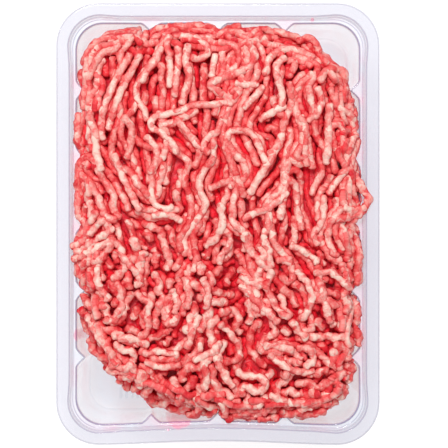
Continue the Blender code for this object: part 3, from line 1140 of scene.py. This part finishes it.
@dataclass(frozen=True)
class ClearSheetFinish:
    """Clear recycled PET, thermoformed from 0.5 mm sheet: nearly see-through, with a faint violet
    veil painted where it is looked along, as painted reflection, thin violet lines painted where it is
    sharply bent, as painted refraction shade, a grey-lavender painted sheen strongest on the flange,
    and stained pink by meat juice low on the walls."""

    name: str = "clear_rpet_sheet"
    sheet: str = "C9E6FF"
    # The next colour, with its veil below, is a grey-lavender painted sheen, strongest on the flange.
    painted_sheen: str = "A6A6C0"
    # The next colour, with its veil below, paints thin violet lines along sharp bends of the sheet: painted
    # refraction shade.
    bend: str = "7F6E9C"
    juice: str = "FF9BC1"
    veil: float = 0.12
    painted_sheen_veil: float = 0.105
    painted_bend_shade_veil: float = 0.7
    juice_veil: float = 0.10
    juice_patch_mm: float = 17.0
    pools: tuple = ((-57.8, -47.0, 3.2), (-17.5, -82.5, 6.0), (-21.0, -87.0, 0.9), (40.0, 86.5, 0.9))

    def pooled(
        self, tree: bpy.types.NodeTree, place: bpy.types.Node, patches: bpy.types.Node, stain: bpy.types.Node
    ) -> bpy.types.Node:
        """Adds the pools of juice to the stain.

        Args:
            tree: The material's nodes.
            place: The texture coordinates.
            patches: The noise that makes a pool's edge uneven.
            stain: The node that gives the stain so far.

        Returns:
            The node that gives the stain with the pools.
        """
        plan = add_node(tree, "VectorMath", {"operation": "MULTIPLY", 1: (1, 1, 0)}, {0: place.outputs["Object"]})
        for x, y, radius in self.pools:
            away = add_node(
                tree, "VectorMath", {"operation": "DISTANCE", 1: (x * MM, y * MM, 0)}, {0: plan.outputs[0]}
            )
            uneven = add_node(
                tree, "Math", {"operation": "MULTIPLY_ADD", 1: 1.6 * radius * MM, 2: -0.8 * radius * MM},
                {0: patches.outputs[0]},
            )
            away = add_node(tree, "Math", {"operation": "ADD"}, {0: away.outputs["Value"], 1: uneven.outputs[0]})
            pool = add_node(
                tree, "MapRange",
                {"From Min": 0.9 * radius * MM, "From Max": 0.7 * radius * MM, "To Min": 0.0, "To Max": 1.6},
                {"Value": away.outputs[0]},
            )
            stain = add_node(tree, "Math", {"operation": "MAXIMUM"}, {0: stain.outputs[0], 1: pool.outputs[0]})
        return stain

    def material(self) -> bpy.types.Material:
        """Builds the material."""
        material, tree, output = new_material(self.name)
        place = add_node(tree, "TexCoord", {}, {})
        bends = add_node(tree, "Attribute", {"attribute_name": "bend"}, {})
        wetness = add_node(tree, "Attribute", {"attribute_name": "wet"}, {})
        painted_sheen = add_node(tree, "Attribute", {"attribute_name": "painted_sheen"}, {})
        settings = {"Scale": 1 / (self.juice_patch_mm * MM), "Detail": 3.0, "Roughness": 0.6}
        patches = add_node(tree, "TexNoise", settings, {"Vector": place.outputs["Object"]})
        stain = add_node(
            tree, "MapRange", {"From Min": 0.42, "From Max": 0.66, "To Min": 0.0, "To Max": 1.0},
            {"Value": patches.outputs[0]},
        )
        stain = add_node(tree, "Math", {"operation": "MULTIPLY"}, {0: stain.outputs[0], 1: wetness.outputs["Fac"]})
        stain = self.pooled(tree, place, patches, stain)
        # Painted reflection: the veil thickens where the sheet is seen edge-on.
        painted_edge_reflection = add_node(tree, "LayerWeight", {"Blend": 0.2}, {})
        # Painted refraction shade: thin violet lines, darker and more opaque, along sharp bends.
        painted_bend_shade = add_node(tree, "Math", {"operation": "POWER", 1: 1.5}, {0: bends.outputs["Fac"]})
        # Painted sheen: a grey-lavender veil, strongest on the flange and ledge.
        colour = add_node(
            tree, "Mix", {"data_type": "RGBA", 6: linear(self.sheet), 7: linear(self.painted_sheen)},
            {0: painted_sheen.outputs["Fac"]},
        )
        colour = add_node(
            tree, "Mix", {"data_type": "RGBA", 7: linear(self.juice)},
            {0: stain.outputs[0], 6: colour.outputs[2]},
        )
        colour = add_node(
            tree, "Mix", {"data_type": "RGBA", 7: linear(self.bend)},
            {0: painted_bend_shade.outputs[0], 6: colour.outputs[2]},
        )
        alpha = add_node(
            tree, "Math", {"operation": "MULTIPLY_ADD", 1: self.painted_bend_shade_veil, 2: self.veil},
            {0: painted_bend_shade.outputs[0]},
        )
        alpha = add_node(
            tree, "Math", {"operation": "MULTIPLY_ADD", 1: self.painted_sheen_veil},
            {0: painted_sheen.outputs["Fac"], 2: alpha.outputs[0]},
        )
        alpha = add_node(
            tree, "Math", {"operation": "MULTIPLY_ADD", 1: self.juice_veil},
            {0: stain.outputs[0], 2: alpha.outputs[0]},
        )
        alpha = add_node(
            tree, "Math", {"operation": "MULTIPLY_ADD", 1: 0.1, "use_clamp": True},
            {0: painted_edge_reflection.outputs["Fresnel"], 2: alpha.outputs[0]},
        )
        shader = add_node(
            tree, "BsdfPrincipled", {"Roughness": 0.07, "IOR": 1.57},
            {"Base Color": colour.outputs[2], "Alpha": alpha.outputs[0]},
        )
        tree.links.new(shader.outputs[0], output.inputs[0])
        return material


# ---------------------------------------------------------------- the tray


@dataclass(frozen=True)
class Station:
    """One ring of the tray's upper skin, in millimetres: how far in it lies, how much further
    along the straights, its height, its corner radius, how far the ribs stand in as a share,
    how dark a line of painted refraction shade is drawn there along a sharp bend, how wet with
    juice it is, and how strong the painted sheen is there."""

    inset: float
    straight: float
    height: float
    radius: float
    ribs: float
    bend: float = 0.0
    wet: float = 0.0
    painted_sheen: float = 0.0

    def toward(self, other: "Station", share: float) -> "Station":
        """Returns a station part of the way to another."""
        pairs = zip(self.values(), other.values())
        return Station(*[a + (b - a) * share for a, b in pairs])

    def values(self) -> tuple[float, ...]:
        """Returns the station's numbers in order."""
        return (
            self.inset, self.straight, self.height, self.radius, self.ribs, self.bend, self.wet, self.painted_sheen
        )


@dataclass
class Tray:
    """The clear tray: a thin sheet from the skirt over the flange, ledge and lobed wall to the
    floor. Sizes are in millimetres."""

    sheet: float = 0.5
    skirt: float = 2.2
    rib_pitch: float = 28.3
    rib_half_width: float = 4.15
    rib_depth: float = 3.7
    long_side_ribs: int = 5
    short_side_ribs: int = 3
    corner_segments: int = 14
    dent: float = 1.5
    dent_reach: float = 50.0
    jog: float = 9.0
    half_size: np.ndarray = field(default_factory=lambda: np.array(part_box("tray")[1]) / MM)

    def stations(self) -> list[Station]:
        """Lists the skin's rings from the skirt to the floor, with its bends rounded."""
        top = self.half_size[2]
        corners = [
            Station(0.0, 0.0, top - self.skirt, 18.0, 0.0, 0.35, 0.0, 1.0),
            Station(0.2, 0.0, top - 0.3, 17.8, 0.0, 0.35, 0.0, 1.0),
            Station(0.7, 0.0, top, 17.4, 0.0, 0.0, 0.0, 1.0),
            Station(5.0, 0.55, top, 13.6, 0.0, 0.0, 0.0, 1.0),
            Station(5.3, 0.6, top - 0.3, 13.4, 0.0, 0.8, 0.1, 0.9),
            Station(5.6, 0.65, top - 0.8, 13.2, 0.0, 0.0, 0.3, 0.8),
            Station(6.0, 0.8, top - 1.7, 12.9, 0.0, 0.0, 0.5, 0.7),
            Station(6.25, 0.75, top - 2.2, 12.7, 0.0, 0.7, 0.5, 0.7),
            Station(6.5, 0.6, top - 2.5, 12.5, 0.0, 0.0, 0.6, 0.7),
            Station(6.8, 0.4, top - 2.7, 12.3, 0.0, 0.0, 0.6, 0.7),
            Station(7.05, 0.3, top - 2.85, 12.1, 0.0, 0.65, 0.6, 0.7),
            Station(7.3, 0.2, top - 2.9, 11.9, 0.0, 0.0, 0.6, 0.7),
            Station(8.1, 0.0, top - 3.0, 11.5, 1.0, 0.0, 0.5, 0.6),
            Station(8.4, 0.0, top - 3.1, 11.3, 1.0, 1.0, 0.5, 0.5),
            Station(8.7, 0.0, top - 3.7, 11.1, 1.0, 0.7, 0.5, 0.4),
            Station(9.0, 0.0, top - 6.0, 10.9, 0.98, 0.0, 0.5, 0.3),
            Station(11.8, 0.0, 3.6, 10.5, 0.5, 0.0, 0.6, 0.35),
            Station(12.9, 0.0, 1.6, 10.0, 0.4, 0.0, 0.4, 0.35),
            Station(14.6, 0.0, 0.8, 9.3, 0.1, 0.0, 0.2, 0.4),
            Station(18.6, 0.0, self.sheet, 7.0, 0.0, 0.0, 0.1, 0.45),
        ]
        rings = [corners[0]]
        for before, corner, after in zip(corners, corners[1:], corners[2:]):
            rings += self.rounded(before, corner, after)
        return rings + [corners[-1]]

    @staticmethod
    def rounded(before: Station, corner: Station, after: Station) -> list[Station]:
        """Rounds one bend of the skin.

        Args:
            before: The station before the bend.
            corner: The bend.
            after: The station after it.

        Returns:
            Three stations on a curve that turns at the bend.
        """
        sides = []
        for other in (before, after):
            span = math.hypot(corner.inset - other.inset, corner.height - other.height)
            share = min(0.42, 0.55 / span)
            sides.append(corner.toward(other, share))
        rings = []
        for share in (0.0, 0.5, 1.0):
            rings.append(sides[0].toward(corner, share).toward(corner.toward(sides[1], share), share))
        return rings

    def side_places(self, ribs: int) -> list[float]:
        """Lists the places along a side where every ring has a point."""
        steps = [-1.0, -0.8, -0.6, -0.4, -0.2, 0.0, 0.2, 0.4, 0.6, 0.8, 1.0]
        places = []
        for rib in range(ribs):
            middle = (rib - (ribs - 1) / 2) * self.rib_pitch
            places += [middle + step * self.rib_half_width for step in steps]
            lobe = self.rib_pitch - 2 * self.rib_half_width
            if rib < ribs - 1:
                places += [middle + self.rib_half_width + lobe * k / 7 for k in range(1, 7)]
        return places

    def rib_share(self, place: float, ribs: int) -> float:
        """Returns how far a rib stands in at a place: 0 in a lobe, 1 at its tip."""
        half = (ribs - 1) / 2
        nearest = max(-half, min(half, round(place / self.rib_pitch + half) - half)) * self.rib_pitch
        away = math.hypot(abs(place - nearest) / self.rib_half_width, 0.08)
        return max(0.0, 1.08 - away) ** 1.5

    def ring(self, station: Station) -> np.ndarray:
        """Lists the points of one ring, anticlockwise.

        Args:
            station: The ring's place on the skin.

        Returns:
            Its points in space, in millimetres.
        """
        half_x, half_y = self.half_size[0] - station.inset, self.half_size[1] - station.inset
        points = []
        for turn in range(4):
            long_side = turn % 2 == 0
            ribs = self.long_side_ribs if long_side else self.short_side_ribs
            out, along = (half_x, half_y) if long_side else (half_y, half_x)
            end = along - station.radius
            places = self.side_places(ribs)
            reach = (end + places[-1]) / 2
            local = []
            for place in [-end, -(end + 2 * reach) / 3, -reach, *places, reach, (end + 2 * reach) / 3, end]:
                plateau = max(0.0, min(1.0, (end - abs(place)) / self.jog))
                plateau = plateau * plateau * (3 - 2 * plateau)
                sunk = self.rib_depth * station.ribs * self.rib_share(place, ribs)
                local.append((out - station.straight * plateau - sunk, place))
            for step in range(1, self.corner_segments):
                angle = math.pi / 2 * step / self.corner_segments
                x = out - station.radius + station.radius * math.cos(angle)
                local.append((x, end + station.radius * math.sin(angle)))
            cos, sin = ((1, 0), (0, 1), (-1, 0), (0, -1))[turn]
            points += [(x * cos - y * sin, x * sin + y * cos) for x, y in local]
        plan = np.array(points)
        hump = np.maximum(0.0, 1 - (plan[:, 0] / self.dent_reach) ** 2) ** 2
        plan[:, 1] += np.where(plan[:, 1] < 0, self.dent * hump * station.height / self.half_size[2], 0)
        return np.column_stack((plan, np.full(len(plan), station.height)))

    def build(self, material: bpy.types.Material) -> bpy.types.Object:
        """Extrudes the skin ring by ring, caps the floor, and gives the sheet its thickness."""
        stations = self.stations()
        bm = bmesh.new()
        number = bm.verts.layers.int.new("number")
        # The bend layer holds the painted refraction-shade lines along sharp bends, and the last layer the painted
        # sheen.
        bend = bm.verts.layers.float.new("bend")
        wet = bm.verts.layers.float.new("wet")
        painted_sheen = bm.verts.layers.float.new("painted_sheen")
        points = self.ring(stations[0]) * MM
        circle = bmesh.ops.create_circle(bm, segments=len(points), radius=1.0)["verts"]
        for index, vert in enumerate(circle):
            vert[number] = index
        grown = circle
        edges = list(bm.edges)
        for ring, station in enumerate(stations):
            if ring:
                made = bmesh.ops.extrude_edge_only(bm, edges=edges)["geom"]
                grown = [item for item in made if isinstance(item, bmesh.types.BMVert)]
                fresh = set(grown)
                edges = [e for e in made if isinstance(e, bmesh.types.BMEdge) and set(e.verts) <= fresh]
            plan = self.ring(station)
            outward = (np.abs(plan[:, :2]) / self.half_size[:2]).sum(axis=1)
            straight = np.clip((1.8 - outward) / 0.25, 0.0, 1.0)
            for vert in grown:
                spot = vert[number]
                vert.co = plan[spot] * MM
                vert[bend] = station.bend
                vert[wet] = station.wet * straight[spot]
                vert[painted_sheen] = station.painted_sheen
        bmesh.ops.contextual_create(bm, geom=edges)
        bmesh.ops.recalc_face_normals(bm, faces=bm.faces)
        floor = max(bm.faces, key=lambda face: len(face.verts))
        if floor.normal.z < 0:
            bmesh.ops.reverse_faces(bm, faces=bm.faces)
        mesh = bpy.data.meshes.new("clear_tray")
        bm.to_mesh(mesh)
        bm.free()
        mesh.shade_smooth()
        mesh.set_sharp_from_angle(angle=math.radians(50))
        tray = add_piece("clear_tray", mesh, material)
        wall = tray.modifiers.new("sheet", "SOLIDIFY")
        wall.thickness = self.sheet * MM
        wall.offset = -1.0
        wall.use_even_offset = True
        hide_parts("tray")
        return tray


@dataclass(frozen=True)
class FloorRibs:
    """A row of low ribs pressed into the tray's floor. Sizes are in millimetres."""

    rows: tuple = ((-74.6, 5.0),)
    first: float = -43.0
    pitch: float = 2.5
    count: int = 5
    width: float = 1.3
    rise: float = 0.3
    floor: float = 0.55

    def build(self, material: bpy.types.Material) -> bpy.types.Object:
        """Builds the ribs as open domes, drawn out and squashed, on the floor."""
        bm = bmesh.new()
        for y, length in self.rows:
            for index in range(self.count):
                made = bmesh.ops.create_uvsphere(bm, u_segments=16, v_segments=8, radius=1.0)["verts"]
                hidden = [vert for vert in made if vert.co.z < -0.01]
                bmesh.ops.delete(bm, geom=hidden, context="VERTS")
                half = length / 2 - self.width / 2
                for vert in [vert for vert in made if vert.is_valid]:
                    shift = half if vert.co.y > 0 else -half
                    x = self.first + index * self.pitch + vert.co.x * self.width / 2
                    z = self.floor + vert.co.z * self.rise
                    vert.co = (x * MM, (y + shift + vert.co.y * self.width / 2) * MM, z * MM)
        bmesh.ops.recalc_face_normals(bm, faces=bm.faces)
        mesh = bpy.data.meshes.new("floor_ribs")
        bm.to_mesh(mesh)
        bm.free()
        mesh.shade_smooth()
        return add_piece("floor_ribs", mesh, material)


# ---------------------------------------------------------------- the heap


@dataclass
class Heap:
    """The heap of mince: a core, and strands on its floor, sides and top."""

    core_margin: float = 4.6
    core_top_margin: float = 6.6
    core_cuts: int = 24
    long_from: float = 16.0
    short_below: float = -12.0
    jumbled_below: float = -42.0
    thrown: int = 70

    def build_core(self, mince: Probe, material: bpy.types.Material) -> bpy.types.Object:
        """Shrinks a cut cube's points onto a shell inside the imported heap.

        Args:
            mince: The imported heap.
            material: The core's material.

        Returns:
            The core's object.
        """
        low, high = [np.array(corner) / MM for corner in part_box("mince")]
        middle = Vector(((low[0] + high[0]) / 2, (low[1] + high[1]) / 2, (low[2] + high[2]) / 2))
        half = Vector((high - low) / 2)
        bm = bmesh.new()
        bmesh.ops.create_cube(bm, size=2.0)
        bmesh.ops.subdivide_edges(bm, edges=bm.edges, cuts=self.core_cuts, use_grid_fill=True)
        for vert in bm.verts:
            way = Vector([vert.co[i] * half[i] for i in range(3)])
            spot, normal, _, _ = mince.tree.ray_cast(middle, way.normalized())
            margin = self.core_top_margin if normal.z > 0.6 else self.core_margin
            spread = Vector((way.x / half.x, way.y / half.y, way.z / half.z))
            shrink = Vector([margin * max(-1.0, min(1.0, spread[i])) for i in range(3)])
            vert.co = (spot - shrink) * MM
        bmesh.ops.smooth_vert(bm, verts=bm.verts, factor=0.5, use_axis_x=True, use_axis_y=True, use_axis_z=True)
        bmesh.ops.recalc_face_normals(bm, faces=bm.faces)
        mesh = bpy.data.meshes.new("mince_core")
        bm.to_mesh(mesh)
        bm.free()
        mesh.shade_smooth()
        return add_piece("mince_core", mesh, material)

    def top_habit(self, x: float, y: float) -> Habit:
        """Long strands lie in the far half of the top, and stubby ones in the near half."""
        if y > self.long_from:
            return LONG
        if y > self.short_below:
            return MEDIUM
        return KNOBBY if x < 0 and y > self.jumbled_below else STUBBY

    def build(self) -> None:
        """Builds every piece of the heap."""
        rng = np.random.default_rng(SEED)
        mince, tray = Probe("mince"), Probe("tray")
        meat = MeatFinish().material()
        core = self.build_core(mince, CoreFinish().material())
        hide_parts("mince")

        side = Layer(SideChart(mince), rng)
        floor = Layer(FloorChart(mince), rng)
        top = Layer(TopChart(mince, tray), rng)
        pressed = side.fill(lambda x, y: PRESSED) + side.fill(lambda x, y: PRESSED, 0.5)
        LOG.info("side strands %d", len(pressed))
        under = floor.fill(lambda x, y: PRESSED)
        LOG.info("floor strands %d", len(under))
        loose = top.fill(self.top_habit, 0.3)
        top.chart.keep_clefts()
        loose += top.fill(self.top_habit)
        loose += top.scatter(self.top_habit, self.thrown, 0.35)
        LOG.info("top strands %d", len(loose))
        hand = HandLaid(top)
        drawn = hand.lay(FAR_STRANDS, LONG) + hand.lay(NEAR_STRANDS, STUBBY)

        long_ones = [s for s in loose if s.line[:, 1].mean() > self.long_from]
        short_ones = [s for s in loose if s.line[:, 1].mean() <= self.long_from]
        fine, plain = StrandMesher(10, rng), StrandMesher(7, rng)
        kinds = (
            ("side_strands", plain, pressed),
            ("floor_strands", plain, under),
            ("far_strands", fine, long_ones),
            ("near_strands", fine, short_ones),
            ("top_strands", fine, drawn),
        )
        for name, mesher, strands in kinds:
            add_piece(name, mesher.join(name, strands), meat)


# ---------------------------------------------------------------- the studio


@dataclass(frozen=True)
class Studio:
    """A white light table, soft light from above, and a camera looking straight down."""

    camera_height: float = 1.0
    frame_width: float = 0.1893
    camera_x: float = 0.0026
    sensor_mm: float = 36.0

    def build(self) -> None:
        """Builds the stage."""
        self.build_table()
        self.build_world()
        self.add_lamp("window", (-0.15, 0.6, 1.2), 0.4, 12.0)
        self.add_lamp("fill", (-0.3, -0.7, 1.2), 1.2, 2.5)
        self.build_camera()

    def build_table(self) -> None:
        """Builds the white table."""
        bm = bmesh.new()
        bmesh.ops.create_grid(bm, x_segments=2, y_segments=2, size=4.0)
        mesh = bpy.data.meshes.new("table")
        bm.to_mesh(mesh)
        bm.free()
        material, tree, output = new_material("white_table")
        settings = {
            "Base Color": linear("A8A8AA"), "Roughness": 0.9,
            "Emission Color": linear("FFFFFF"), "Emission Strength": 0.74,
        }
        shader = add_node(tree, "BsdfPrincipled", settings, {})
        tree.links.new(shader.outputs[0], output.inputs[0])
        mesh.materials.append(material)
        table = bpy.data.objects.new("table", mesh)
        bpy.context.scene.collection.objects.link(table)
        table.location.z = -0.0002

    def build_world(self) -> None:
        """Lights the scene evenly with white."""
        world = bpy.data.worlds.new("studio")
        bpy.context.scene.world = world
        world.use_nodes = True
        back = world.node_tree.nodes["Background"]
        back.inputs["Color"].default_value = linear("FFFFFF")
        back.inputs["Strength"].default_value = 0.6
        bpy.context.scene.view_settings.view_transform = "Standard"

    def add_lamp(self, name: str, place: tuple, size: float, watts: float) -> None:
        """Adds a square soft box that faces the object."""
        lamp = bpy.data.lights.new(name, "AREA")
        lamp.shape = "SQUARE"
        lamp.size = size
        lamp.energy = watts
        thing = bpy.data.objects.new(name, lamp)
        thing.location = place
        thing.rotation_euler = (-Vector(place)).to_track_quat("-Z", "Y").to_euler()
        bpy.context.scene.collection.objects.link(thing)

    def build_camera(self) -> None:
        """Looks straight down, with +Y up in the picture."""
        camera = bpy.data.cameras.new("camera")
        camera.sensor_width = self.sensor_mm
        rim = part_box("tray")[1][2]
        camera.lens = self.sensor_mm * (self.camera_height - rim) / self.frame_width
        thing = bpy.data.objects.new("camera", camera)
        thing.location = (self.camera_x, 0.0, self.camera_height)
        bpy.context.scene.collection.objects.link(thing)
        bpy.context.scene.camera = thing


def main() -> None:
    """Builds the tray, the heap and the studio."""
    logging.basicConfig(level=logging.INFO, format="%(relativeCreated)d %(message)s")
    sheet = ClearSheetFinish().material()
    Tray().build(sheet)
    FloorRibs().build(sheet)
    Heap().build()
    Studio().build()


if __name__ == "__main__":
    main()
